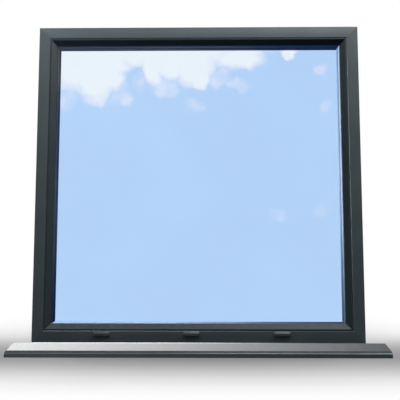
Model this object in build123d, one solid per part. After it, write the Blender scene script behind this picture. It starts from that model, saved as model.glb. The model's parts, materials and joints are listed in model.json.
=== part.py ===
"""Fixed light of an aluminium window: a mitred, thermally broken frame, a beaded sealed
unit, drainage caps and a projecting sill. Millimetres, +X right, +Y into the room, +Z up.
The origin is on the underside of the sill, below the middle of the frame's outer face."""

import os
from math import sqrt

from build123d import *

# Overall sizes
FRAME_W = 1190.0            # frame, outer edge to outer edge
FRAME_H = 1160.0            # frame, underside to head
FRAME_D = 70.0              # frame, outer face to inner face

# Frame section: u runs inwards from the frame's outer edge, v runs from the outer face
FACE_W = 41.5               # outer face, from the outer edge to the bead
FACE_CROWN = 3.0            # outer edge of the crowned face behind its inner edge
STEP_H = 6.5                # step behind the bead, up to the rebate floor
UPSTAND_H = 18.0            # upstand above the rebate floor, up to the sight line
WALL = 1.8                  # wall of the hollow profiles
CORNER_R = 0.8              # rounding of the extruded corners
OUTER_D = 24.0              # depth of the outer profile
INNER_SEAT = 3.0            # rebate floor on the inner profile, in front of the upstand
ANCHOR_W = 9.0              # anchor channel round the outer edge of each profile
ANCHOR_D = 3.0
ANCHOR_FROM_FACE = 6.0      # outer and inner face to the channel beside it

# Thermal break strips
STRIP_T = 2.0               # web of a strip
STRIP_INSET = 8.0           # outer edge to the first strip
STRIP_FLOOR = 10.0          # second strip, below the rebate floor
FOOT_W = 5.0                # width of a strip's dovetail foot
FOOT_D = 2.5                # depth of that foot
RAIL_W = 9.0                # metal round each foot

# Glazing
PANE_T = 4.0
CAVITY = 20.0               # space between the panes
EDGE_CLEAR = 5.0            # glass edge to the rebate floor
SPACER_W = 6.5
SPACER_WALL = 0.8
GASKET_T = 4.0              # outer and inner glazing gaskets
GASKET_LIP = 1.0            # outer gasket past the sight line
GASKET_FROM_EDGE = 2.0      # glass edge to the gasket
LIP_R = 0.9                 # rounding of the outer gasket's lip
FLUSH_R = 0.4               # rounding of the inner gasket, flush with the sight line

# Glazing bead
BEAD_D = 15.0               # outer face to the back of the bead
BEAD_SET = 1.0              # nose behind the outer face
BEAD_WALL = 1.4
BEAD_EDGE = 1.5             # square edge at the sight line
NOSE_W = 5.0
GROOVE_W = 2.0              # shadow groove between face and bead
GROOVE_D = 1.5
CLIP_GAP = 0.3              # bead to the step behind it

# Setting blocks
BLOCK_L = 100.0
BLOCK_FROM_END = 250.0      # frame's outer edge to the middle of a block
BLOCK_GAP = 1.0             # block to the bead and to the upstand

# Drainage slots and their caps
CAP_FROM_LEFT = (251.0, 571.0, 894.0)
CAP_W = 56.0
CAP_BELOW_BEAD = 1.0        # inner edge of the outer face to the top of a cap
CAP_SLOPE_H = 7.0
CAP_FACE_H = 9.0
CAP_D = 5.0
CAP_WALL = 1.2
SLOT_W = 26.0
SLOT_H = 5.0
SLOT_BELOW_TOP = 9.0        # top of a cap to the middle of its slot
TONGUE_GAP = 0.8            # slot to the cap's tongue, each side
FLOOR_SLOT_SHIFT = 70.0     # floor slot beside each face slot, towards the middle

# Fixing holes through the thermal break of each jamb
FIXING_R = 4.0
FIXING_PITCH = 600.0

# Sill
SILL_H = 36.0               # underside to the seat of the frame
SILL_PROJ = 80.0            # projection past the frame's outer face
SILL_HORN = 67.0            # run past each side of the frame
SILL_FALL = 15.0            # fall of the sloping top, from the frame to the nose
SILL_WALL = 2.0
SILL_T = 11.0               # thickness of the sloping leaf
NOSE_BEVEL_RUN = 11.5       # bevel between the sloping top and the nose's face
NOSE_BEVEL_FALL = 7.0
NOSE_LEAN = 2.5             # foot of the nose in front of its upper edge
NOSE_LEG = 6.0              # thickness of the nose at its foot
NOSE_R = 4.0                # rounding above and below the bevel
NOSE_FOOT_R = 1.0
END_CAP_T = 3.0

# Worked out from the sizes above
REBATE_U = FACE_W + STEP_H
SIGHT_U = REBATE_U + UPSTAND_H
GLASS_U = REBATE_U + EDGE_CLEAR
SPACER_U = SIGHT_U - SPACER_W
GLASS_Y = BEAD_D + GASKET_T
UPSTAND_Y = GLASS_Y + 2 * PANE_T + CAVITY + GASKET_T
INNER_Y = UPSTAND_Y - INNER_SEAT
STRIP_US = (STRIP_INSET, REBATE_U - STRIP_FLOOR)
FRAME_Z = SILL_H
CAP_TOP_U = FACE_W - CAP_BELOW_BEAD
CROWN_R = (FACE_W**2 + FACE_CROWN**2) / (2 * FACE_CROWN)
NOSE_Y = NOSE_LEAN - SILL_PROJ
LEAF_END_Y = NOSE_Y + NOSE_BEVEL_RUN

# Each side: the length of its bar, then the turn and place that bring it there
SIDES = {
    "bottom": (FRAME_W, Location((0, 0, FRAME_Z))),
    "head": (FRAME_W, Location((0, 0, FRAME_Z + FRAME_H), (0, 180, 0))),
    "left": (FRAME_H, Location((-FRAME_W / 2, 0, FRAME_Z + FRAME_H / 2), (0, 90, 0))),
    "right": (FRAME_H, Location((FRAME_W / 2, 0, FRAME_Z + FRAME_H / 2), (0, -90, 0))),
}

# A section is drawn with u up and v into the room, and runs along X
SECTION = Plane(origin=(0, 0, 0), x_dir=(0, 0, 1), z_dir=(-1, 0, 0))


def outline(*points):
    """A flat face with straight sides through the points."""
    return make_face(Polyline(*points, close=True))


def rounded(face, radius, *corners):
    """The face with the named corners rounded."""
    picked = [face.vertices().sort_by_distance((u, v, 0))[0] for u, v in corners]
    return fillet(picked, radius)


def rectangle(u0, v0, u1, v1):
    """A flat rectangle between two corners."""
    return outline((u0, v0), (u1, v0), (u1, v1), (u0, v1))


def run(face, length):
    """The section run along X, half of its length to each side."""
    return extrude(SECTION * face, length / 2, both=True)


def mitred(face, side):
    """The section as one side of the frame, cut at 45 degrees from the outer corners."""
    length, place = SIDES[side]
    half = length / 2
    deep = SIGHT_U + GASKET_LIP + CORNER_R
    corners = outline((-half, 0), (half, 0), (half - deep, deep), (deep - half, deep))
    keep = extrude(Plane.XZ * corners, 2 * FRAME_D, both=True)
    return place * (run(face, length) & keep)


def dovetail(u, v, way):
    """The foot of a strip that enters a profile from the plane v, way +1 or -1."""
    neck, foot = STRIP_T / 2, FOOT_W / 2
    return outline((u - neck, v), (u + neck, v), (u + foot, v + way * FOOT_D),
                   (u - foot, v + way * FOOT_D))


def hollow(face, wall, plane_v, way, *webs):
    """A profile of even wall, with solid rails that hold the strips' feet, and any webs."""
    core = offset(face, -wall, kind=Kind.INTERSECTION)
    for web in webs:
        core -= web
    rail_d = way * (FOOT_D + wall)
    for u in STRIP_US:
        core -= rectangle(u - RAIL_W / 2, plane_v, u + RAIL_W / 2, plane_v + rail_d)
    section = face - core
    for u in STRIP_US:
        section -= dovetail(u, plane_v, way)
    return section


def crown(u):
    """Depth of the crowned outer face at the place u; it is square to the bead at its inner edge."""
    return CROWN_R - sqrt(CROWN_R**2 - (FACE_W - u) ** 2)


def crown_line(u0, u1):
    """The curve of the outer face between two places."""
    middle = (u0 + u1) / 2
    return ThreePointArc(*((u, crown(u)) for u in (u0, middle, u1)))


def outer_section():
    """The weather side: a crowned face, the seat of the bead and the rebate floor."""
    step = BEAD_D + CLIP_GAP
    rest = Polyline((FACE_W, 0), (FACE_W, step), (REBATE_U, step), (REBATE_U, OUTER_D),
                    (0, OUTER_D), (0, FACE_CROWN))
    face = make_face([crown_line(0, FACE_W), rest])
    face = rounded(face, CORNER_R, (0, FACE_CROWN), (FACE_W, 0))
    face -= rectangle(0, ANCHOR_FROM_FACE, ANCHOR_D, ANCHOR_FROM_FACE + ANCHOR_W)
    return hollow(face, WALL, OUTER_D, -1)


def inner_section():
    """The room side, with the upstand that the glass is pressed against."""
    face = outline((0, INNER_Y), (REBATE_U, INNER_Y), (REBATE_U, UPSTAND_Y),
                   (SIGHT_U, UPSTAND_Y), (SIGHT_U, FRAME_D), (0, FRAME_D))
    face = rounded(face, CORNER_R, (SIGHT_U, UPSTAND_Y), (SIGHT_U, FRAME_D), (0, FRAME_D))
    channel_back = FRAME_D - ANCHOR_FROM_FACE
    face -= rectangle(0, channel_back - ANCHOR_W, ANCHOR_D, channel_back)
    web = rectangle(REBATE_U - WALL, INNER_Y, REBATE_U, FRAME_D)
    return hollow(face, WALL, INNER_Y, 1, web)


def strip_section(u):
    """One strip: a thin web with a dovetail foot at each edge."""
    web = rectangle(u - STRIP_T / 2, OUTER_D, u + STRIP_T / 2, INNER_Y)
    return web + dovetail(u, OUTER_D, -1) + dovetail(u, INNER_Y, 1)


def bead_section():
    """A hollow clip-in bead: foot, nose, bevel down to the glass, flat back."""
    nose = FACE_W + GROOVE_W
    face = outline((FACE_W, GROOVE_D + BEAD_SET), (nose, GROOVE_D + BEAD_SET),
                   (nose, BEAD_SET), (nose + NOSE_W, BEAD_SET),
                   (SIGHT_U, BEAD_D - BEAD_EDGE), (SIGHT_U, BEAD_D), (FACE_W, BEAD_D))
    core = offset(face, -BEAD_WALL, kind=Kind.INTERSECTION)
    face = rounded(face, CORNER_R, (nose, BEAD_SET), (nose + NOSE_W, BEAD_SET))
    return face - core


def gasket_section(v, lip, radius):
    """A glazing gasket from the plane v, with a rounded lip past the sight line."""
    tip = SIGHT_U + lip
    face = rectangle(GLASS_U + GASKET_FROM_EDGE, v, tip, v + GASKET_T)
    return rounded(face, radius, (tip, v), (tip, v + GASKET_T))


def frame_pieces():
    """Profiles, thermal breaks, beads and gaskets of the four sides."""
    outer, inner, bead = outer_section(), inner_section(), bead_section()
    outer_gasket = gasket_section(BEAD_D, GASKET_LIP, LIP_R)
    inner_gasket = gasket_section(UPSTAND_Y - GASKET_T, 0, FLUSH_R)
    strips = [strip_section(u) for u in STRIP_US]
    pieces = {}
    for side in SIDES:
        pieces[f"{side}_outer_profile"] = mitred(outer, side)
        pieces[f"{side}_inner_profile"] = mitred(inner, side)
        pieces[f"{side}_thermal_break"] = [mitred(strip, side) for strip in strips]
        pieces[f"{side}_bead"] = mitred(bead, side)
        pieces[f"{side}_outer_gasket"] = mitred(outer_gasket, side)
        pieces[f"{side}_inner_gasket"] = mitred(inner_gasket, side)
    return pieces


def cap_centres():
    """Where the drainage caps stand along the bottom of the frame."""
    return [from_left - FRAME_W / 2 for from_left in CAP_FROM_LEFT]


def drained(profile):
    """The bottom outer profile with a slot behind each cap and one in the rebate floor."""
    slot_z = FRAME_Z + CAP_TOP_U - SLOT_BELOW_TOP
    floor_y = (BEAD_D + CLIP_GAP + OUTER_D - WALL) / 2
    for x in cap_centres():
        profile -= Pos(x, 0, slot_z) * Box(SLOT_W, 3 * WALL, SLOT_H)
        floor_x = x + (FLOOR_SLOT_SHIFT if x < 0 else -FLOOR_SLOT_SHIFT)
        profile -= Pos(floor_x, floor_y, FRAME_Z + REBATE_U) * Box(SLOT_W, SLOT_H, 3 * WALL)
    return profile


def fixed(strips, x):
    """A jamb's strips drilled for the fixing screws."""
    bore_y = (OUTER_D + INNER_Y) / 2
    middle_z = FRAME_Z + FRAME_H / 2
    drilled = []
    for strip in strips:
        for way in (-1, 1):
            place = Location((x, bore_y, middle_z + way * FIXING_PITCH / 2), (0, 90, 0))
            strip -= place * Cylinder(FIXING_R, 3 * REBATE_U)
        drilled.append(strip)
    return drilled


def drain_cap(x):
    """A hood over a drainage slot: sloping top, open below, tongue in the slot."""
    top = CAP_TOP_U
    foot = top - CAP_SLOPE_H - CAP_FACE_H
    front = Polyline((top, crown(top)), (top - CAP_SLOPE_H, -CAP_D), (foot, -CAP_D),
                     (foot, crown(foot)))
    shell = make_face([front, crown_line(foot, top)])
    core_top = top - 2 * CAP_WALL
    core = outline((core_top, FACE_CROWN), (core_top, 0),
                   (core_top - CAP_SLOPE_H + CAP_WALL, CAP_WALL - CAP_D),
                   (foot - CAP_WALL, CAP_WALL - CAP_D), (foot - CAP_WALL, FACE_CROWN))
    hood = run(shell, CAP_W) - run(core, CAP_W - 2 * CAP_WALL)
    back = 2 * WALL
    reach = back + CAP_D - CAP_WALL / 2
    tongue = Box(SLOT_W - 2 * TONGUE_GAP, reach, SLOT_H - 2 * TONGUE_GAP)
    hood += Pos(0, back - reach / 2, top - SLOT_BELOW_TOP) * tongue
    return Pos(x, 0, FRAME_Z) * hood


def sheet(inset, y0, thick):
    """A sheet of glass held the given distance inside the frame's outer edge."""
    size_x, size_z = FRAME_W - 2 * inset, FRAME_H - 2 * inset
    return Pos(0, y0 + thick / 2, FRAME_Z + FRAME_H / 2) * Box(size_x, thick, size_z)


def ring(inset, width, y0, thick):
    """A rectangular ring whose outer edge lies the given distance inside the frame's."""
    return sheet(inset, y0, thick) - sheet(inset + width, y0, thick)


def glazing_pieces():
    """The sealed unit: two panes, a hollow spacer and the edge seal round it."""
    cavity_y = GLASS_Y + PANE_T
    bore = ring(SPACER_U + SPACER_WALL, SPACER_W - 2 * SPACER_WALL,
                cavity_y + SPACER_WALL, CAVITY - 2 * SPACER_WALL)
    return {
        "outer_pane": sheet(GLASS_U, GLASS_Y, PANE_T),
        "inner_pane": sheet(GLASS_U, cavity_y + CAVITY, PANE_T),
        "spacer_bar": ring(SPACER_U, SPACER_W, cavity_y, CAVITY) - bore,
        "edge_seal": ring(GLASS_U, SPACER_U - GLASS_U, cavity_y, CAVITY),
    }


def setting_block(way):
    """A block that carries the sealed unit on the rebate floor, way -1 left or +1 right."""
    y0, y1 = BEAD_D + CLIP_GAP + BLOCK_GAP, UPSTAND_Y - BLOCK_GAP
    x = way * (FRAME_W / 2 - BLOCK_FROM_END)
    z = FRAME_Z + REBATE_U + EDGE_CLEAR / 2
    return Pos(x, (y0 + y1) / 2, z) * Box(BLOCK_L, y1 - y0, EDGE_CLEAR)


def leaf_top(y):
    """Height of the sill's sloping top, or of its line run on, at the place y."""
    return SILL_H - SILL_FALL * y / LEAF_END_Y


def sill_outline():
    """The whole outside of the sill's section, as (z, y) points."""
    nose_back = NOSE_LEG - SILL_PROJ
    leaf_end = (SILL_H - SILL_FALL, LEAF_END_Y)
    nose_top = (SILL_H - SILL_FALL - NOSE_BEVEL_FALL, NOSE_Y)
    face = outline((0, -SILL_PROJ), nose_top, leaf_end, (SILL_H, 0), (SILL_H, FRAME_D),
                   (0, FRAME_D), (0, 0), (SILL_H - SILL_T, 0),
                   (leaf_top(nose_back) - SILL_T, nose_back), (0, nose_back))
    face = rounded(face, NOSE_R, nose_top, leaf_end)
    return rounded(face, NOSE_FOOT_R, (0, -SILL_PROJ), (0, nose_back))


def sill_chambers():
    """The hollows of the sill: one in the sloping leaf, two in the box under the frame."""
    front, back = LEAF_END_Y, -SILL_WALL
    leaf = outline((leaf_top(front) - SILL_WALL, front), (leaf_top(back) - SILL_WALL, back),
                   (leaf_top(back) - SILL_T + SILL_WALL, back),
                   (leaf_top(front) - SILL_T + SILL_WALL, front))
    middle = FRAME_D / 2
    boxes = [rectangle(SILL_WALL, y0, SILL_H - SILL_WALL, y1)
             for y0, y1 in ((SILL_WALL, middle - SILL_WALL / 2),
                            (middle + SILL_WALL / 2, FRAME_D - SILL_WALL))]
    return [leaf, *boxes]


def sill_pieces():
    """The sill with its horns notched back to the frame's outer face, and two end caps."""
    length = FRAME_W + 2 * SILL_HORN
    face = sill_outline()
    body = run(face, length - 2 * END_CAP_T)
    for chamber in sill_chambers():
        body -= run(chamber, length)
    cap_face = face - rectangle(0, 0, SILL_H, FRAME_D)
    pieces = {}
    for name, way in (("left", -1), ("right", 1)):
        notch = Box(SILL_HORN, FRAME_D, SILL_H)
        body -= Pos(way * (FRAME_W + SILL_HORN) / 2, FRAME_D / 2, SILL_H / 2) * notch
        cap_x = way * (length - END_CAP_T) / 2
        pieces[f"sill_end_cap_{name}"] = Pos(cap_x, 0, 0) * run(cap_face, END_CAP_T)
    pieces["sill"] = body
    return pieces


def main():
    """Every piece of the window, written as one file each."""
    pieces = frame_pieces()
    pieces["bottom_outer_profile"] = drained(pieces["bottom_outer_profile"])
    for side, x in (("left", -FRAME_W / 2), ("right", FRAME_W / 2)):
        pieces[f"{side}_thermal_break"] = fixed(pieces[f"{side}_thermal_break"], x)
    pieces |= glazing_pieces()
    for name, way in (("left", -1), ("right", 1)):
        pieces[f"setting_block_{name}"] = setting_block(way)
    for number, x in enumerate(cap_centres(), 1):
        pieces[f"drain_cap_{number}"] = drain_cap(x)
    pieces |= sill_pieces()

    os.makedirs("parts", exist_ok=True)
    for name, piece in pieces.items():
        solids = [solid for item in (piece if isinstance(piece, list) else [piece])
                  for solid in item.solids()]
        shape = solids[0] if len(solids) == 1 else Compound(solids)
        export_step(shape, f"parts/{name}.step")
        print(name, len(solids), round(sum(solid.volume for solid in solids), 1))


main()
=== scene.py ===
"""Looks of a fixed aluminium window with a sill: finishes, glass, moulded trim, studio and camera.

Every length is in metres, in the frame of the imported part: +X to the right seen from outside,
+Y into the room, +Z up, origin under the sill below the middle of the frame's outer face.
"""

import json
import logging
import math
from collections.abc import Callable, Iterable
from dataclasses import dataclass, field
from enum import Enum

import bmesh
import bpy
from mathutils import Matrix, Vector

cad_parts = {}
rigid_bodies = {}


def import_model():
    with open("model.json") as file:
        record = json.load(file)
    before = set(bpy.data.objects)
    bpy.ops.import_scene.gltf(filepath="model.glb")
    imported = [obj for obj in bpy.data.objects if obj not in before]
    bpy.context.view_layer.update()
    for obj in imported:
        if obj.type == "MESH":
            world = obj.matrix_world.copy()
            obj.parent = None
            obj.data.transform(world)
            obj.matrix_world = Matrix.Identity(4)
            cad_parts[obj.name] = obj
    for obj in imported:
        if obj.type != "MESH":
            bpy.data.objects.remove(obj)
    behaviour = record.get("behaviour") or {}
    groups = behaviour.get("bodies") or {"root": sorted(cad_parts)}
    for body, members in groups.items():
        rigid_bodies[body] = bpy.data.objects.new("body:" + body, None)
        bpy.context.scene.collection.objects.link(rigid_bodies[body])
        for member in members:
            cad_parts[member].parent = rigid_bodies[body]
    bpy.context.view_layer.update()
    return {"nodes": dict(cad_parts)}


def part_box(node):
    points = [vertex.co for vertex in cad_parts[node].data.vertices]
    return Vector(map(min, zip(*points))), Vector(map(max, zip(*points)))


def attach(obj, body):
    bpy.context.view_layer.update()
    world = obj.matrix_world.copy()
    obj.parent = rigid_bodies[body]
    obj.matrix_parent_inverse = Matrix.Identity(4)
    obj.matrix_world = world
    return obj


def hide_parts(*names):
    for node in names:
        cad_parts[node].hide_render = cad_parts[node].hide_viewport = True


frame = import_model()

LOG = logging.getLogger("window")
MM = 0.001
BODY = "root"
IMAGE_PIXELS = 400
SENSOR_MM = 36.0
FACING = 0.9        # how squarely a face or an edge lies along an axis to be picked
NEAR = 0.1 * MM     # how close to a plane it lies

Colour = tuple[float, float, float]
Point = tuple[float, float, float]
Socket = bpy.types.NodeSocket


class Side(Enum):
    """The four sides of the frame, by the names that their nodes start with."""

    BOTTOM = "bottom"
    HEAD = "head"
    LEFT = "left"
    RIGHT = "right"


class End(Enum):
    """The two ends of the sill and of the glass, by the names that their nodes end with."""

    LEFT = "left"
    RIGHT = "right"


class Slot(Enum):
    """The names of the record's material slots for the new pieces."""

    CAP = "drain_cap"
    SILL_CAP = "sill_end_cap"


def grey(value: float, tint_or_painted_sky: Colour = (1.0, 1.0, 1.0)) -> Colour:
    """A grey of the given linear value, times the given colour."""
    return tuple(value * part for part in tint_or_painted_sky)


def rgba(colour: Colour) -> tuple[float, float, float, float]:
    """The colour with full alpha."""
    return (*colour, 1.0)


class Graph:
    """A node tree being wired, with a short call for each kind of node that the finishes use."""

    def __init__(self, tree: bpy.types.NodeTree) -> None:
        """Starts on an empty tree.

        Args:
            tree: the node tree to fill.
        """
        self.tree = tree
        self.tree.nodes.clear()

    def add(self, kind: str, sockets: dict | None = None, **settings: object) -> bpy.types.Node:
        """Adds one node.

        Args:
            kind: the node's type name, without the ShaderNode in front.
            sockets: a value or a socket to link, by input name or number.
            settings: the node's own properties.

        Returns:
            The new node.
        """
        node = self.tree.nodes.new(f"ShaderNode{kind}")
        for name, value in settings.items():
            setattr(node, name, value)
        for name, value in (sockets or {}).items():
            self.feed(node.inputs[name], value)
        return node

    def feed(self, target: Socket, value: object) -> None:
        """Links a socket into the target, or sets the target's own value."""
        if isinstance(value, Socket):
            self.tree.links.new(value, target)
        elif target.type == "RGBA":
            target.default_value = rgba(value)
        else:
            target.default_value = value

    def math(self, operation: str, *values: object, clamp: bool = False) -> Socket:
        """A Math node's result on one, two or three values."""
        node = self.add("Math", dict(enumerate(values)), operation=operation, use_clamp=clamp)
        return node.outputs[0]

    def vector(self, operation: str, *values: object) -> bpy.types.Node:
        """A Vector Math node on one or two vectors."""
        return self.add("VectorMath", dict(enumerate(values)), operation=operation)

    def mix(self, share: object, first: object, second: object) -> Socket:
        """A colour between two others."""
        node = self.add("Mix", {0: share, 6: first, 7: second}, data_type="RGBA")
        return node.outputs[2]

    def between(self, value: object, low: float, high: float, to_low: float = 0.0,
                to_high: float = 1.0, smooth: bool = True) -> Socket:
        """A value taken from one range to another, held at its ends.

        Args:
            value: the value or socket to map.
            low: the start of the range it comes from.
            high: the end of that range.
            to_low: what low becomes.
            to_high: what high becomes.
            smooth: an S-curve between the ends rather than a straight line.

        Returns:
            The mapped value.
        """
        kind = "SMOOTHSTEP" if smooth else "LINEAR"
        node = self.add("MapRange", {"Value": value, "From Min": low, "From Max": high,
                                     "To Min": to_low, "To Max": to_high}, interpolation_type=kind)
        return node.outputs["Result"]

    def noise(self, scale: object, detail: float = 3.0, at: Socket | None = None) -> Socket:
        """Soft noise around one half, at a scale per metre."""
        sockets = {"Scale": scale, "Detail": detail}
        if at is not None:
            sockets["Vector"] = at
        return self.add("TexNoise", sockets).outputs["Fac"]

    def place(self, stretch: Point = (1.0, 1.0, 1.0)) -> Socket:
        """The point on the piece in metres, stretched along the axes."""
        point = self.add("TexCoord").outputs["Object"]
        return self.add("Mapping", {"Vector": point, "Scale": stretch}).outputs[0]

    def group(self, effect: bpy.types.NodeTree, **values: object) -> bpy.types.Node:
        """Places a shared effect with its own values, by socket name."""
        node = self.tree.nodes.new("ShaderNodeGroup")
        node.node_tree = effect
        for name, value in values.items():
            self.feed(node.inputs[name], value)
        return node


class Effects:
    """The effects that several finishes share, each a node group built once.

    Each pair is the range that a mask rises over, and each share is a weight in a sum.
    """

    PEEL_SHARE = 0.65
    FINE_TO_PEEL = 2.3
    CLOUD_SHARE = 0.7
    EDGE_TURN = (0.995, 0.85)
    EDGE_PATCHES = (0.35, 0.7)
    DUST_LEVEL = (0.2, 0.95)
    DUST_PATCHES = (0.3, 0.8)
    DUST_STRETCH = (1.0, 0.35, 1.0)
    PEEL_SOFTNESS = 0.7
    EDGE_SAMPLES = 4
    SPECK = (0.16, 0.05)
    GRAIN_SHARE = 0.5
    ALONG_DIE = 0.004
    WAVE_SCALE = 5.0
    WAVE_STRETCH = (1.0, 1.0, 0.2)
    TONE_SCALE = 3.0
    TONE_STRETCH = (1.0, 1.0, 0.3)

    def __init__(self) -> None:
        """Builds every effect."""
        self.grain = self._grain()
        self.edge = self._edge()
        self.dust = self._dust()
        self.sparkle = self._sparkle()
        self.die_lines = self._die_lines()
        self.float_glass = self._float_glass()

    @staticmethod
    def start(name: str, values: Iterable[tuple[str, float]], results: Iterable[tuple[str, str]]
              ) -> tuple[Graph, bpy.types.Node, bpy.types.Node]:
        """Starts a group with its sockets.

        Args:
            name: the group's name.
            values: each input's name and its usual value.
            results: each output's name and its socket type.

        Returns:
            The graph, the node that gives the inputs, and the node that takes the outputs.
        """
        tree = bpy.data.node_groups.new(name, "ShaderNodeTree")
        for title, usual in values:
            made = tree.interface.new_socket(name=title, in_out="INPUT",
                                             socket_type="NodeSocketFloat")
            made.default_value = usual
        for title, kind in results:
            tree.interface.new_socket(name=title, in_out="OUTPUT", socket_type=kind)
        graph = Graph(tree)
        return graph, tree.nodes.new("NodeGroupInput"), tree.nodes.new("NodeGroupOutput")

    def _grain(self) -> bpy.types.NodeTree:
        """The fine orange peel of a sprayed or moulded skin, and slow changes of tone."""
        graph, given, result = self.start(
            "surface_grain", (("Scale", 900.0), ("Cloud Scale", 9.0)),
            (("Height", "NodeSocketFloat"), ("Tone", "NodeSocketFloat")))
        point = graph.place()
        peel = graph.add("TexVoronoi", {"Vector": point, "Scale": given.outputs["Scale"],
                                        "Smoothness": self.PEEL_SOFTNESS},
                         feature="SMOOTH_F1")
        fine_scale = graph.math("MULTIPLY", given.outputs["Scale"], self.FINE_TO_PEEL)
        fine = graph.noise(fine_scale, 2.0, point)
        height = graph.math(
            "ADD", graph.math("MULTIPLY", peel.outputs["Distance"], self.PEEL_SHARE),
            graph.math("MULTIPLY", fine, 1 - self.PEEL_SHARE))
        slow = graph.noise(given.outputs["Cloud Scale"], 4.0, point)
        tone = graph.math("ADD", graph.math("MULTIPLY", slow, self.CLOUD_SHARE),
                          graph.math("MULTIPLY", height, 1 - self.CLOUD_SHARE))
        graph.feed(result.inputs["Height"], height)
        graph.feed(result.inputs["Tone"], tone)
        return graph.tree

    def _edge(self) -> bpy.types.NodeTree:
        """Where an edge is rubbed, and the normal of the skin that rounds over it."""
        graph, given, result = self.start(
            "edge_wear", (("Radius", 0.0008), ("Patch Scale", 60.0)),
            (("Mask", "NodeSocketFloat"), ("Normal", "NodeSocketVector")))
        bevel = graph.add("Bevel", {"Radius": given.outputs["Radius"]},
                          samples=self.EDGE_SAMPLES)
        flat = graph.add("NewGeometry").outputs["Normal"]
        turned = graph.vector("DOT_PRODUCT", bevel.outputs[0], flat).outputs["Value"]
        near = graph.between(turned, *self.EDGE_TURN)
        patches = graph.between(graph.noise(given.outputs["Patch Scale"], 4.0, graph.place()),
                                *self.EDGE_PATCHES)
        graph.feed(result.inputs["Mask"], graph.math("MULTIPLY", near, patches))
        graph.feed(result.inputs["Normal"], bevel.outputs[0])
        return graph.tree

    def _dust(self) -> bpy.types.NodeTree:
        """Fine dust that settles on what faces up, thinner where rain runs."""
        graph, given, result = self.start(
            "settled_dust", (("Amount", 0.2), ("Scale", 40.0)), (("Mask", "NodeSocketFloat"),))
        normal = graph.add("NewGeometry").outputs["Normal"]
        up = graph.add("SeparateXYZ", {0: normal}).outputs["Z"]
        level = graph.between(up, *self.DUST_LEVEL)
        point = graph.place(self.DUST_STRETCH)
        patches = graph.between(graph.noise(given.outputs["Scale"], 6.0, point),
                                *self.DUST_PATCHES)
        mask = graph.math("MULTIPLY", graph.math("MULTIPLY", level, patches),
                          given.outputs["Amount"], clamp=True)
        graph.feed(result.inputs["Mask"], mask)
        return graph.tree

    def _sparkle(self) -> bpy.types.NodeTree:
        """Pale specks finer than a millimetre in a powder coating."""
        graph, given, result = self.start(
            "coating_sparkle", (("Amount", 0.25), ("Scale", 1400.0)),
            (("Mask", "NodeSocketFloat"),))
        cells = graph.add("TexVoronoi", {"Vector": graph.place(), "Scale": given.outputs["Scale"]})
        speck = graph.between(cells.outputs["Distance"], *self.SPECK)
        graph.feed(result.inputs["Mask"], graph.math("MULTIPLY", speck, given.outputs["Amount"]))
        return graph.tree

    def _die_lines(self) -> bpy.types.NodeTree:
        """Lines left by a die, which change only across the strip's depth."""
        graph, given, result = self.start(
            "die_lines", (("Grain", 0.5), ("Scale", 1500.0)), (("Height", "NodeSocketFloat"),))
        point = graph.place((self.ALONG_DIE, 1.0, self.ALONG_DIE))
        lines = graph.noise(given.outputs["Scale"], 2.0, point)
        grain = graph.math("MULTIPLY", given.outputs["Grain"], self.GRAIN_SHARE)
        graph.feed(result.inputs["Height"], graph.math("ADD", grain, lines))
        return graph.tree

    def _float_glass(self) -> bpy.types.NodeTree:
        """The slow waves of a float pane and the faint changes of its own tone."""
        graph, _, result = self.start(
            "float_glass_skin", (), (("Height", "NodeSocketFloat"), ("Tone", "NodeSocketFloat")))
        wave = graph.noise(self.WAVE_SCALE, 1.0, graph.place(self.WAVE_STRETCH))
        tone = graph.noise(self.TONE_SCALE, 2.0, graph.place(self.TONE_STRETCH))
        graph.feed(result.inputs["Height"], wave)
        graph.feed(result.inputs["Tone"], tone)
        return graph.tree


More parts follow.
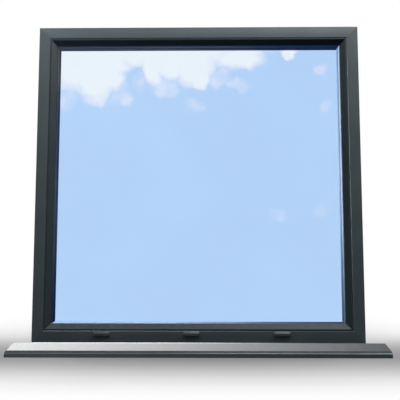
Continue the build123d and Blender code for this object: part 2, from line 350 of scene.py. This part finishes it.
@dataclass(frozen=True)
class Finish:
    """A matt or satin skin with grain, tone, rubbed edges and dust.

    Each kind of skin is a finish of its own, and some change the colour or the relief.
    """

    name: str
    colour: Colour
    roughness: float = 0.42
    grain_scale: float = 900.0
    grain_height: float = 0.00002
    cloud_scale: float = 9.0
    tone: float = 0.08
    edge_radius: float = 0.0006
    worn: Colour = (0.16, 0.17, 0.18)
    wear: float = 0.10
    dust: float = 0.10
    dust_colour: Colour = (0.30, 0.29, 0.27)
    specular: float = 0.5
    coat: float = 0.0
    coat_roughness: float = 0.3
    smoother: float = 0.04
    rougher: float = 0.05
    dust_roughness: float = 0.3
    tone_span: tuple[float, float] = (0.25, 0.75)
    rough_span: tuple[float, float] = (0.2, 0.8)

    def paint(self, graph: Graph, effects: Effects, base: Socket) -> Socket:
        """The colour of the skin over its toned base; a plain skin keeps it."""
        return base

    def relief(self, graph: Graph, effects: Effects, height: Socket) -> Socket:
        """The height of the skin in units of the grain; a plain skin keeps it."""
        return height

    def material(self, effects: Effects) -> bpy.types.Material:
        """Builds the material.

        Args:
            effects: the shared effects.

        Returns:
            The material, ready for a piece.
        """
        made = bpy.data.materials.new(self.name)
        made.use_nodes = True
        graph = Graph(made.node_tree)
        grain = graph.group(effects.grain, **{"Scale": self.grain_scale,
                                              "Cloud Scale": self.cloud_scale})
        edge = graph.group(effects.edge, Radius=self.edge_radius)
        dust = graph.group(effects.dust, Amount=self.dust)
        toned = graph.mix(graph.between(grain.outputs["Tone"], *self.tone_span),
                          grey(1 - self.tone, self.colour), grey(1 + self.tone, self.colour))
        skin = self.paint(graph, effects, toned)
        rubbed = graph.mix(graph.math("MULTIPLY", edge.outputs["Mask"], self.wear), skin, self.worn)
        dusted = graph.mix(dust.outputs["Mask"], rubbed, self.dust_colour)
        rough = graph.between(grain.outputs["Tone"], *self.rough_span,
                              self.roughness - self.smoother, self.roughness + self.rougher)
        dull = graph.math("MULTIPLY", dust.outputs["Mask"], self.dust_roughness)
        rough = graph.math("ADD", rough, dull, clamp=True)
        height = self.relief(graph, effects, grain.outputs["Height"])
        bump = graph.add("Bump", {"Height": height, "Strength": 1.0,
                                  "Distance": self.grain_height,
                                  "Normal": edge.outputs["Normal"]})
        shader = graph.add("BsdfPrincipled", {
            "Base Color": dusted, "Roughness": rough, "Normal": bump.outputs[0],
            "Specular IOR Level": self.specular, "Coat Weight": self.coat,
            "Coat Roughness": self.coat_roughness})
        graph.add("OutputMaterial", {"Surface": shader.outputs[0]})
        return made


@dataclass(frozen=True)
class PowderCoat(Finish):
    """Satin polyester powder coating on aluminium, with a faint sparkle in the grain."""

    sparkle: float = 0.25
    speck_lift: float = 2.2

    def paint(self, graph: Graph, effects: Effects, base: Socket) -> Socket:
        """Scatters the specks over the base."""
        speck = graph.group(effects.sparkle, Amount=self.sparkle).outputs["Mask"]
        return graph.mix(speck, base, grey(self.speck_lift, self.colour))


@dataclass(frozen=True)
class Extruded(Finish):
    """A rubber or plastic strip, with fine lines left by the die along its length."""

    line_scale: float = 1500.0

    def relief(self, graph: Graph, effects: Effects, height: Socket) -> Socket:
        """Adds the die's lines to the grain."""
        lines = graph.group(effects.die_lines, Grain=height, Scale=self.line_scale)
        return lines.outputs["Height"]


@dataclass(frozen=True)
class SpacerMetal(Finish):
    """A rolled spacer bar: a black butyl line along each pane and rows of tiny vents."""

    low_y: float = 0.0
    high_y: float = 0.0
    butyl_width: float = 0.0016
    vent_pitch: float = 0.004
    vent_radius: float = 0.0006
    vent_depth: float = 0.85
    black: Colour = (0.03, 0.03, 0.03)

    def paint(self, graph: Graph, effects: Effects, base: Socket) -> Socket:
        """Blackens the butyl lines and the vents."""
        spot = graph.add("SeparateXYZ", {0: graph.place()}).outputs
        middle = (self.low_y + self.high_y) / 2
        off = graph.math("ABSOLUTE", graph.math("SUBTRACT", spot["Y"], middle))
        edge = (self.high_y - self.low_y) / 2 - self.butyl_width
        butyl = graph.math("GREATER_THAN", off, edge)
        along = graph.math("ADD", spot["X"], spot["Z"])
        step = graph.math("SUBTRACT", graph.math("PINGPONG", along, self.vent_pitch),
                          self.vent_pitch / 2)
        row = graph.math("SUBTRACT", off, edge / 2)
        reach = graph.math("ADD", graph.math("MULTIPLY", step, step),
                           graph.math("MULTIPLY", row, row))
        vent = graph.math("LESS_THAN", reach, self.vent_radius ** 2)
        dark = graph.math("MAXIMUM", butyl, graph.math("MULTIPLY", vent, self.vent_depth))
        return graph.mix(dark, base, self.black)


@dataclass(frozen=True)
class Cloud:
    """A soft patch of cloud in the painted sky reflection on the glass: place, half width and
    weight.
    """

    x: float
    z: float
    half_x: float
    half_z: float
    weight: float = 1.0


@dataclass(frozen=True)
class PaintedSkyReflection:
    """A painted reflection of a bright sky, laid on the glass as its colour: blue below, banked
    cloud along the top.
    """

    clouds: tuple[Cloud, ...]
    blue: Colour = (0.470, 0.663, 0.960)
    haze: Colour = (0.665, 0.770, 0.995)
    white: Colour = (0.845, 0.920, 1.0)
    body_reach: tuple[float, float] = (1.5, 0.45)
    haze_depth: tuple[float, float] = (0.12, 0.55)
    white_depth: tuple[float, float] = (0.30, 0.98)
    fray: float = 0.050
    fray_scale: float = 9.0
    fray_roughness: float = 0.55
    wisp: float = 0.10
    wisp_scale: float = 16.0
    wisp_span: tuple[float, float] = (0.3, 0.8)
    drift: float = 1.03
    drift_scale: float = 2.5
    drift_span: tuple[float, float] = (0.35, 0.7)
    seed: Point = (3.1, 0.0, 7.4)

    def effect(self) -> bpy.types.NodeTree:
        """Builds the painted sky reflection as a group that both panes share.

        Returns:
            The group, whose output is the painted sky reflection's colour at a place on the glass.
        """
        graph, _, result = Effects.start("painted_sky_reflection", (), (("Colour", "NodeSocketColor"),))
        flat = graph.place((1.0, 0.0, 1.0))
        moved = graph.vector("ADD", flat, self.seed).outputs[0]
        swirl = graph.add("TexNoise", {"Vector": moved, "Scale": self.fray_scale, "Detail": 4.0,
                                       "Roughness": self.fray_roughness}).outputs["Color"]
        push = graph.vector("SUBTRACT", swirl, (0.5, 0.5, 0.5)).outputs[0]
        shift = graph.add("VectorMath", {0: push, 3: self.fray * 2}, operation="SCALE").outputs[0]
        point = graph.vector("ADD", flat, shift).outputs[0]
        depth: Socket | float = 0.0
        for cloud in self.clouds:
            away = graph.vector("SUBTRACT", point, (cloud.x, 0.0, cloud.z)).outputs[0]
            scaled = graph.vector("MULTIPLY", away, (1 / cloud.half_x, 0.0, 1 / cloud.half_z))
            reach = graph.vector("LENGTH", scaled.outputs[0]).outputs["Value"]
            body = graph.between(reach, *self.body_reach, 0.0, cloud.weight)
            depth = graph.math("MAXIMUM", depth, body)
        soft = graph.noise(self.wisp_scale, 3.0, moved)
        wisps = graph.between(soft, *self.wisp_span, -self.wisp, self.wisp)
        depth = graph.math("ADD", depth, wisps)
        slow = graph.between(graph.noise(self.drift_scale, 2.0, moved), *self.drift_span)
        low_sky = graph.mix(slow, self.blue, grey(self.drift, self.blue))
        hazy = graph.mix(graph.between(depth, *self.haze_depth), low_sky, self.haze)
        banked = graph.mix(graph.between(depth, *self.white_depth), hazy, self.white)
        graph.feed(result.inputs["Colour"], banked)
        return graph.tree


@dataclass(frozen=True)
class Pane:
    """Float glass. A pane that shows the painted sky reflection takes it as its colour. Lamps pass
    straight through it, coloured by the painted sky reflection as strongly as its depth says.
    """

    name: str
    shows_painted_sky: bool = False
    depth: float = 1.0
    clear: Colour = (0.99, 1.0, 0.997)
    dulled: float = 0.99
    ior: float = 1.2
    ripple: float = 0.00004

    def material(self, effects: Effects, sky: bpy.types.NodeTree) -> bpy.types.Material:
        """Builds the glass.

        Args:
            effects: the shared effects.
            sky: the group that gives the painted sky reflection.

        Returns:
            The material, ready for a pane.
        """
        made = bpy.data.materials.new(self.name)
        made.use_nodes = True
        graph = Graph(made.node_tree)
        # the painted sky reflection's colour: the showing pane wears it, and lamps take it through
        # either pane
        tint_or_painted_sky = graph.group(sky).outputs["Colour"]
        skin = graph.group(effects.float_glass).outputs
        base = tint_or_painted_sky
        if not self.shows_painted_sky:
            base = graph.mix(skin["Tone"], grey(self.dulled, self.clear), self.clear)
        bump = graph.add("Bump", {"Height": skin["Height"], "Strength": 1.0,
                                  "Distance": self.ripple})
        glass = graph.add("BsdfPrincipled", {
            "Base Color": base, "Roughness": 0.0, "Transmission Weight": 1.0, "IOR": self.ior,
            "Normal": bump.outputs[0]})
        # painted light: shadow rays take the painted sky reflection's colour, so what lies behind
        # the glass is lit in its blues and whites
        shade = graph.add("Gamma", {"Color": tint_or_painted_sky, "Gamma": self.depth}).outputs[0]
        passed = graph.add("BsdfTransparent", {"Color": shade})
        shadow = graph.add("LightPath").outputs["Is Shadow Ray"]
        blend = graph.add("MixShader", {0: shadow, 1: glass.outputs[0], 2: passed.outputs[0]})
        graph.add("OutputMaterial", {"Surface": blend.outputs[0]})
        return made


class Workbench:
    """Modelling with Blender's own operators, one piece at a time."""

    ROUND_STEPS = 3
    SHARP = math.radians(35.0)

    @staticmethod
    def clear() -> None:
        """Leaves nothing selected."""
        bpy.ops.object.select_all(action="DESELECT")

    @classmethod
    def hold(cls, piece: bpy.types.Object) -> None:
        """Selects one piece alone and makes it active."""
        cls.clear()
        piece.select_set(True)
        bpy.context.view_layer.objects.active = piece

    @classmethod
    def block(cls, name: str, low: Vector, high: Vector) -> bpy.types.Object:
        """Starts a piece from a block between two corners, with its place in its mesh.

        Args:
            name: the piece's name.
            low: its lowest corner.
            high: its highest corner.

        Returns:
            The new object, held and active.
        """
        cls.clear()
        bpy.ops.mesh.primitive_cube_add(size=1.0, location=(low + high) / 2, scale=high - low)
        piece = bpy.context.active_object
        piece.name = piece.data.name = name
        bpy.ops.object.transform_apply(location=True, rotation=True, scale=True)
        return piece

    @staticmethod
    def pick(piece: bpy.types.Object, kind: str, test: Callable[[Vector, Vector], bool]) -> None:
        """Selects, in edit mode, the faces or edges that pass a test.

        Args:
            piece: the piece in edit mode.
            kind: FACE or EDGE.
            test: called with an element's middle and its normal or direction.
        """
        bpy.ops.mesh.select_mode(type=kind)
        bpy.ops.mesh.select_all(action="DESELECT")
        mesh = bmesh.from_edit_mesh(piece.data)
        for part in mesh.faces if kind == "FACE" else mesh.edges:
            if kind == "FACE":
                middle, way = part.calc_center_median(), part.normal
            else:
                ends = [v.co for v in part.verts]
                middle, way = (ends[0] + ends[1]) / 2, (ends[1] - ends[0]).normalized()
            if test(middle, way):
                part.select_set(True)
        mesh.select_flush_mode()
        bmesh.update_edit_mesh(piece.data)

    @classmethod
    def finish(cls, piece: bpy.types.Object, width: float) -> None:
        """Rounds the sharp edges of a piece and shades it smooth between them.

        Args:
            piece: the piece, in object mode.
            width: the rounding's width.
        """
        cls.hold(piece)
        bevel = piece.modifiers.new("Rounding", "BEVEL")
        bevel.width, bevel.segments = width, cls.ROUND_STEPS
        bevel.limit_method, bevel.angle_limit = "ANGLE", cls.SHARP
        bpy.ops.object.modifier_apply(modifier=bevel.name)
        bpy.ops.object.shade_smooth_by_angle(angle=cls.SHARP)


def coat(node: str, made: bpy.types.Material) -> None:
    """Gives a CAD node its material, in every slot it has."""
    data = frame["nodes"][node].data
    if not data.materials:
        data.materials.append(made)
    for number in range(len(data.materials)):
        data.materials[number] = made
    LOG.info("dressed %s with %s", node, made.name)


def clear_of_gloss(pieces: Iterable[bpy.types.Object]) -> None:
    """Keeps pieces out of what the sill's gloss shows, so that it mirrors the bright room."""
    for piece in pieces:
        piece.visible_glossy = False


@dataclass
class MitredFrame:
    """The four mitred sides: outer and inner profiles, and the strips that join them."""

    coating: Finish = field(default_factory=lambda: PowderCoat(
        "anthracite_frame_coating", (0.060, 0.079, 0.088), roughness=0.40))
    strip: Finish = field(default_factory=lambda: Extruded(
        "glass_filled_polyamide", grey(0.012), roughness=0.55, grain_scale=1500.0,
        wear=0.15, worn=grey(0.05)))

    def dress(self, effects: Effects) -> None:
        """Coats the profiles and the strips of every side."""
        coating, strip = self.coating.material(effects), self.strip.material(effects)
        for side in Side:
            coat(f"{side.value}_outer_profile", coating)
            coat(f"{side.value}_inner_profile", coating)
            coat(f"{side.value}_thermal_break", strip)


@dataclass
class GlazingRing:
    """The beads that hold the glass and the gaskets each side of it."""

    # painted shade: the beads take a darker copy of the frame's anthracite, which darkens their
    # bevels
    coating: Finish = field(default_factory=lambda: PowderCoat(
        "shaded_anthracite_bead_coating", (0.032, 0.044, 0.049), roughness=0.42, edge_radius=0.0005,
        specular=0.18, sparkle=0.15))
    outer_rubber: Finish = field(default_factory=lambda: Extruded(
        "black_glazing_rubber", grey(0.010), roughness=0.5, grain_scale=2200.0, wear=0.1,
        worn=grey(0.03), dust=0.08))
    inner_rubber: Finish = field(default_factory=lambda: Extruded(
        "dark_grey_glazing_rubber", grey(0.035), roughness=0.5, grain_scale=2200.0, wear=0.1,
        worn=grey(0.06), dust=0.08))

    def dress(self, effects: Effects) -> None:
        """Coats the beads and the gaskets of every side."""
        coating = self.coating.material(effects)
        outer, inner = self.outer_rubber.material(effects), self.inner_rubber.material(effects)
        for side in Side:
            coat(f"{side.value}_bead", coating)
            coat(f"{side.value}_outer_gasket", outer)
            coat(f"{side.value}_inner_gasket", inner)


@dataclass
class SealedUnit:
    """The double glazing: two panes, spacer, edge seal and the blocks that carry them; the outer
    pane shows a painted reflection of a bright cloudy sky.
    """

    clouds: tuple[Cloud, ...] = (
        Cloud(-0.445, 1.070, 0.150, 0.122),
        Cloud(-0.392, 0.990, 0.075, 0.080),
        Cloud(-0.340, 1.020, 0.055, 0.075),
        Cloud(-0.180, 1.125, 0.420, 0.070),
        Cloud(-0.090, 1.088, 0.150, 0.052),
        Cloud(-0.335, 1.075, 0.090, 0.060),
        Cloud(-0.110, 1.060, 0.070, 0.055),
        Cloud(-0.170, 1.035, 0.036, 0.062),
        Cloud(-0.015, 1.060, 0.080, 0.085),
        Cloud(0.018, 1.000, 0.036, 0.046),
        Cloud(0.158, 1.083, 0.098, 0.050),
        Cloud(0.338, 1.100, 0.028, 0.026, 0.90),
        Cloud(-0.480, 0.950, 0.050, 0.060, 0.42),
        Cloud(-0.290, 0.940, 0.060, 0.055, 0.42),
        Cloud(-0.120, 0.972, 0.070, 0.050, 0.44),
        Cloud(-0.228, 0.990, 0.045, 0.055, 0.32),
        Cloud(-0.020, 0.905, 0.045, 0.035, 0.32),
        Cloud(0.085, 1.010, 0.050, 0.050, 0.42),
        Cloud(0.150, 0.980, 0.050, 0.030, 0.40),
        Cloud(0.460, 1.039, 0.024, 0.030, 0.42),
        Cloud(0.479, 0.898, 0.024, 0.026, 0.34),
        Cloud(0.288, 0.492, 0.055, 0.040, 0.28),
        Cloud(0.453, 0.503, 0.045, 0.040, 0.26),
    )

    def dress(self, effects: Effects) -> None:
        """Glazes the panes, the outer one with the painted sky reflection as its colour, and coats
        the spacer, the seal and the blocks.
        """
        low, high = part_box("spacer_bar")
        sky = PaintedSkyReflection(self.clouds).effect()
        # the outer pane shows the painted sky reflection; the inner one looks clear but colours the
        # lamps' light with it
        coat("outer_pane", Pane("painted_sky_reflection_glass", shows_painted_sky=True).material(effects, sky))
        coat("inner_pane", Pane("clear_float_glass", depth=1.5).material(effects, sky))
        coat("spacer_bar", SpacerMetal(
            "satin_spacer_metal", (0.072, 0.079, 0.086), roughness=0.35, wear=0.1,
            grain_scale=2500.0, low_y=low.y, high_y=high.y).material(effects))
        coat("edge_seal", Finish(
            "dark_polysulphide_seal", grey(0.01), roughness=0.6, grain_scale=500.0,
            grain_height=0.0001, wear=0.0).material(effects))
        block = Finish("moulded_setting_block", (0.02, 0.035, 0.05), roughness=0.5,
                       grain_scale=1800.0, worn=grey(0.08)).material(effects)
        for end in End:
            coat(f"setting_block_{end.value}", block)


@dataclass
class DrainCaps:
    """The moulded hoods over the drainage slots of the bottom rail."""

    count: int = 3
    slope_height: float = 6.0 * MM
    wall: float = 1.2 * MM
    rounding: float = 0.45 * MM
    tongue_width: float = 24.4 * MM
    tongue_height: float = 3.4 * MM
    tongue_drop: float = 9.0 * MM
    finish: Finish = field(default_factory=lambda: Finish(
        "moulded_cap_plastic", (0.048, 0.063, 0.070), roughness=0.45, grain_scale=1700.0,
        edge_radius=0.0003, worn=grey(0.08), specular=0.3, dust=0.02))

    def hood(self, number: int) -> bpy.types.Object:
        """Models one cap in the place of its CAD node.

        Args:
            number: the cap's number along the rail, from the left.

        Returns:
            The finished cap.
        """
        node = f"drain_cap_{number}"
        low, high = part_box(node)
        face_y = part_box("bottom_outer_profile")[0].y
        piece = Workbench.block(f"drain_hood_{number}", low, Vector((high.x, face_y, high.z)))
        bpy.ops.object.mode_set(mode="EDIT")
        Workbench.pick(piece, "EDGE", lambda mid, way: abs(way.x) > FACING
                       and mid.y < face_y - MM and mid.z > high.z - MM)
        bpy.ops.transform.translate(value=(0.0, 0.0, -self.slope_height))
        Workbench.pick(piece, "FACE", lambda mid, way: way.y > FACING or way.z < -FACING)
        bpy.ops.mesh.delete(type="FACE")
        bpy.ops.object.mode_set(mode="OBJECT")
        shell = piece.modifiers.new("Wall", "SOLIDIFY")
        shell.thickness, shell.offset, shell.use_even_offset = self.wall, -1.0, True
        Workbench.hold(piece)
        bpy.ops.object.modifier_apply(modifier=shell.name)
        self._tongue(piece, high, low)
        Workbench.finish(piece, self.rounding)
        return piece

    def _tongue(self, piece: bpy.types.Object, high: Vector, low: Vector) -> None:
        """Draws the tongue out of the hood's inner face, back into the slot.

        Args:
            piece: the hollow hood, in object mode.
            high: the highest corner of the CAD cap, whose Y is the tongue's tip.
            low: its lowest corner.
        """
        middle_x, middle_z = (low.x + high.x) / 2, high.z - self.tongue_drop
        inner_y = low.y + self.wall
        bpy.ops.object.mode_set(mode="EDIT")

        def inner(mid: Vector, way: Vector) -> bool:
            """True on the inner side of the front wall."""
            return way.y > FACING and abs(mid.y - inner_y) < NEAR

        cuts = (((middle_x - self.tongue_width / 2, 0, 0), (1, 0, 0)),
                ((middle_x + self.tongue_width / 2, 0, 0), (1, 0, 0)),
                ((0, 0, middle_z - self.tongue_height / 2), (0, 0, 1)),
                ((0, 0, middle_z + self.tongue_height / 2), (0, 0, 1)))
        for spot, way in cuts:
            Workbench.pick(piece, "FACE", inner)
            bpy.ops.mesh.bisect(plane_co=spot, plane_no=way)
        Workbench.pick(piece, "FACE", lambda mid, way: inner(mid, way)
                       and abs(mid.x - middle_x) < self.tongue_width / 2
                       and abs(mid.z - middle_z) < self.tongue_height / 2)
        bpy.ops.mesh.extrude_region_move(
            TRANSFORM_OT_translate={"value": (0.0, high.y - inner_y, 0.0)})
        bpy.ops.object.mode_set(mode="OBJECT")

    def build(self, effects: Effects) -> None:
        """Models every cap and dresses it."""
        made = self.finish.material(effects)
        for number in range(1, self.count + 1):
            piece = self.hood(number)
            piece.data.materials.append(made)
            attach(piece, BODY)
            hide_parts(f"drain_cap_{number}")
            LOG.info("built %s", piece.name)


@dataclass
class Sill:
    """The projecting sill and the moulded caps that close its ends."""

    cap_rounding: float = 0.5 * MM
    cap_merge: float = 0.01 * MM
    cap_flat: float = math.radians(1.0)
    coating: Finish = field(default_factory=lambda: PowderCoat(
        "anthracite_sill_coating", (0.043, 0.054, 0.060), roughness=0.30, dust=0.05,
        sparkle=0.15, coat=1.0, coat_roughness=0.16))
    cap: Finish = field(default_factory=lambda: Finish(
        "moulded_sill_cap", (0.050, 0.057, 0.062), roughness=0.42, grain_scale=1500.0,
        edge_radius=0.0004, worn=grey(0.16)))

    def end_cap(self, end: End) -> bpy.types.Object:
        """Models one end cap: the CAD cap's outline with moulded, rounded edges.

        Args:
            end: which end it closes.

        Returns:
            The finished cap.
        """
        source = frame["nodes"][f"sill_end_cap_{end.value}"]
        piece = bpy.data.objects.new(f"sill_cap_{end.value}", source.data.copy())
        bpy.context.scene.collection.objects.link(piece)
        piece.data.materials.clear()
        Workbench.hold(piece)
        bpy.ops.object.mode_set(mode="EDIT")
        bpy.ops.mesh.select_all(action="SELECT")
        bpy.ops.mesh.remove_doubles(threshold=self.cap_merge)
        bpy.ops.mesh.dissolve_limited(angle_limit=self.cap_flat)
        bpy.ops.object.mode_set(mode="OBJECT")
        Workbench.finish(piece, self.cap_rounding)
        return piece

    def build(self, effects: Effects) -> None:
        """Coats the sill and models its end caps."""
        coat("sill", self.coating.material(effects))
        made = self.cap.material(effects)
        for end in End:
            piece = self.end_cap(end)
            piece.data.materials.append(made)
            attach(piece, BODY)
            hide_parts(f"sill_end_cap_{end.value}")
            LOG.info("built %s", piece.name)


@dataclass(frozen=True)
class Lobe:
    """A soft patch of brightness round the window, by the angles of the way to it in degrees.

    The azimuth is 0 straight behind the window and grows to the right, so 180 is the front.
    """

    azimuth: float
    elevation: float
    spread: float
    strength: float

    @property
    def way(self) -> Vector:
        """The direction towards its middle."""
        turn, lift = math.radians(self.azimuth), math.radians(self.elevation)
        return Vector((math.sin(turn) * math.cos(lift), math.cos(turn) * math.cos(lift),
                       math.sin(lift)))


@dataclass(frozen=True)
class SoftBox:
    """A square lamp with a diffuser: where it stands, what it faces, its size and power.

    A lamp that isn't glossy leaves no highlight.
    """

    name: str
    place: Point
    target: Point
    size: float
    watts: float
    glossy: bool = True


@dataclass
class Studio:
    """The pale room round the window: floor, soft surroundings, lamps and the camera.

    The floor's painted contact shadow reaches further behind back_y than before front_y, and the
    pool is a soft shadow painted round it by place on the floor, which fades out over its front,
    back and sides.
    """

    floor_size: float = 60.0
    floor_samples: int = 16
    shadow_reach: float = 0.62
    back_reach: float = 1.15
    front_y: float = -0.15
    back_y: float = 0.25
    shadow_open: tuple[float, float] = (0.42, 0.97)
    shadow_floor: float = 0.26
    shadow_power: float = 2.0
    pool_y: float = -0.05
    pool_front: float = 0.53
    pool_back: float = 0.68
    pool_sides: tuple[float, float] = (1.25, 0.80)
    pool_shade: float = 0.33
    low_glow: Colour = (0.28, 0.48, 1.0)
    glow_below: tuple[float, float] = (-0.35, -0.05)
    lobes: tuple[Lobe, ...] = (
        Lobe(-40.0, 30.0, 30.0, 1.75),
        Lobe(-22.0, 30.0, 28.0, 1.25),
        Lobe(-5.0, 30.0, 28.0, 1.30),
        Lobe(12.0, 30.0, 28.0, 0.27),
        Lobe(-18.0, 11.0, 24.0, 5.50),
        Lobe(-3.0, 4.0, 15.0, 6.00),
        Lobe(-155.0, 50.0, 35.0, 2.15),
        Lobe(-162.0, 18.0, 24.0, 0.42),
        Lobe(0.0, -52.0, 38.0, 2.60),
    )
    lamps: tuple[SoftBox, ...] = (
        SoftBox("key_lamp", (1.9, -0.9, 3.0), (0.0, 0.0, 0.6), 1.2, 70.0),
        SoftBox("left_lamp", (-1.15, -0.74, 1.68), (-1.00, 0.0, 0.8), 0.5, 12.5, False),
        SoftBox("right_lamp", (0.72, -0.6, 2.25), (0.40, 0.0, 0.8), 0.6, 8.0),
        SoftBox("top_lamp", (0.25, -0.45, 2.4), (0.1, 0.0, 0.8), 0.8, 12.5),
    )
    camera_place: Point = (0.030, -1.958, 0.369)
    camera_yaw: float = 0.667
    camera_pitch: float = 5.163
    focal_pixels: float = 541.0

    def build(self) -> None:
        """Sets up everything round the window."""
        self._floor()
        self._surroundings()
        for lamp in self.lamps:
            self._lamp(lamp)
        self._camera()
        bpy.context.scene.view_settings.view_transform = "Standard"

    def _floor(self) -> None:
        """A white glowing floor with painted shadow, softly darker where the window stands on it.
        """
        Workbench.clear()
        bpy.ops.mesh.primitive_plane_add(size=self.floor_size, location=(0.0, 0.0, 0.0))
        floor = bpy.context.active_object
        floor.name = "studio_floor"
        floor.visible_diffuse = floor.visible_glossy = floor.visible_shadow = False
        floor.visible_transmission = False
        made = bpy.data.materials.new("white_studio_floor")
        made.use_nodes = True
        graph = Graph(made.node_tree)
        spot = graph.add("SeparateXYZ", {0: graph.place()}).outputs
        # painted shadow: the glowing floor darkens by how much of its surroundings the window hides
        # from it
        reach = graph.between(spot["Y"], self.front_y, self.back_y, self.shadow_reach,
                              self.back_reach)
        open_sky = graph.add("AmbientOcclusion", {"Distance": reach},
                             samples=self.floor_samples)
        shade = graph.between(open_sky.outputs["AO"], *self.shadow_open, self.shadow_floor, 1.0,
                              smooth=False)
        shade = graph.math("POWER", shade, self.shadow_power)
        # painted shadow: a pool of shade laid by place on the floor round the window, apart from
        # any lamp
        away = graph.math("SUBTRACT", spot["Y"], self.pool_y)
        depth = graph.math("MULTIPLY", graph.between(away, -self.pool_front, 0.0),
                           graph.between(away, self.pool_back, 0.0))
        beside = graph.between(graph.math("ABSOLUTE", spot["X"]), *self.pool_sides)
        pool = graph.between(graph.math("MULTIPLY", depth, beside), 0.0, 1.0, 1.0,
                             self.pool_shade, smooth=False)
        shade = graph.math("MINIMUM", shade, pool)
        light = graph.add("Emission", {"Color": shade, "Strength": 1.0})
        graph.add("OutputMaterial", {"Surface": light.outputs[0]})
        floor.data.materials.append(made)

    def _surroundings(self) -> None:
        """White where the camera looks, and soft lobes for what light and gloss see."""
        world = bpy.data.worlds.new("studio")
        bpy.context.scene.world = world
        world.use_nodes = True
        graph = Graph(world.node_tree)
        way = graph.add("TexCoord").outputs["Generated"]
        level: Socket | float = 0.0
        for lobe in self.lobes:
            near = graph.vector("DOT_PRODUCT", way, lobe.way).outputs["Value"]
            away = graph.math("ARCCOSINE", graph.math("MINIMUM", near, 1.0))
            patch = graph.between(away, math.radians(lobe.spread), 0.0, 0.0, lobe.strength)
            level = graph.math("ADD", level, patch)
        path = graph.add("LightPath").outputs
        bounced = graph.math("ADD", path["Diffuse Depth"], path["Glossy Depth"])
        through = graph.math("MULTIPLY", path["Is Transmission Ray"],
                             graph.math("LESS_THAN", bounced, 0.5))
        seen = graph.math("MAXIMUM", path["Is Camera Ray"], through)
        strength = graph.math("MULTIPLY", level, graph.math("SUBTRACT", 1.0, seen))
        strength = graph.math("ADD", strength, seen)
        height = graph.add("SeparateXYZ", {0: way}).outputs["Z"]
        upper = graph.math("MAXIMUM", graph.between(height, *self.glow_below), seen)
        colour = graph.mix(upper, self.low_glow, (1.0, 1.0, 1.0))
        back = graph.add("Background", {"Color": colour, "Strength": strength})
        graph.add("OutputWorld", {"Surface": back.outputs[0]})

    @staticmethod
    def _lamp(lamp: SoftBox) -> None:
        """Stands one softbox, unseen by the camera.

        Args:
            lamp: its place and power.
        """
        data = bpy.data.lights.new(lamp.name, "AREA")
        data.shape, data.size, data.energy = "SQUARE", lamp.size, lamp.watts
        placed = bpy.data.objects.new(lamp.name, data)
        bpy.context.scene.collection.objects.link(placed)
        placed.location = lamp.place
        way = Vector(lamp.target) - Vector(lamp.place)
        placed.rotation_euler = way.to_track_quat("-Z", "Y").to_euler()
        placed.visible_camera = placed.visible_transmission = False
        placed.visible_glossy = lamp.glossy

    def _camera(self) -> None:
        """Places the camera at the photograph's viewing angle."""
        data = bpy.data.cameras.new("camera")
        data.sensor_width = SENSOR_MM
        data.lens = self.focal_pixels / IMAGE_PIXELS * SENSOR_MM
        placed = bpy.data.objects.new("camera", data)
        bpy.context.scene.collection.objects.link(placed)
        placed.location = self.camera_place
        placed.rotation_euler = (math.radians(90 + self.camera_pitch), 0.0,
                                 math.radians(self.camera_yaw))
        bpy.context.scene.camera = placed


def main() -> None:
    """Dresses the window, builds its trim and sets up the studio."""
    logging.basicConfig(level=logging.INFO, format="%(name)s: %(message)s")
    effects = Effects()
    MitredFrame().dress(effects)
    GlazingRing().dress(effects)
    SealedUnit().dress(effects)
    DrainCaps().build(effects)
    Sill().build(effects)
    clear_of_gloss(piece for piece in bpy.data.objects
                   if piece.type == "MESH" and not piece.name.startswith("sill"))
    Studio().build()


if __name__ == "__main__":
    main()
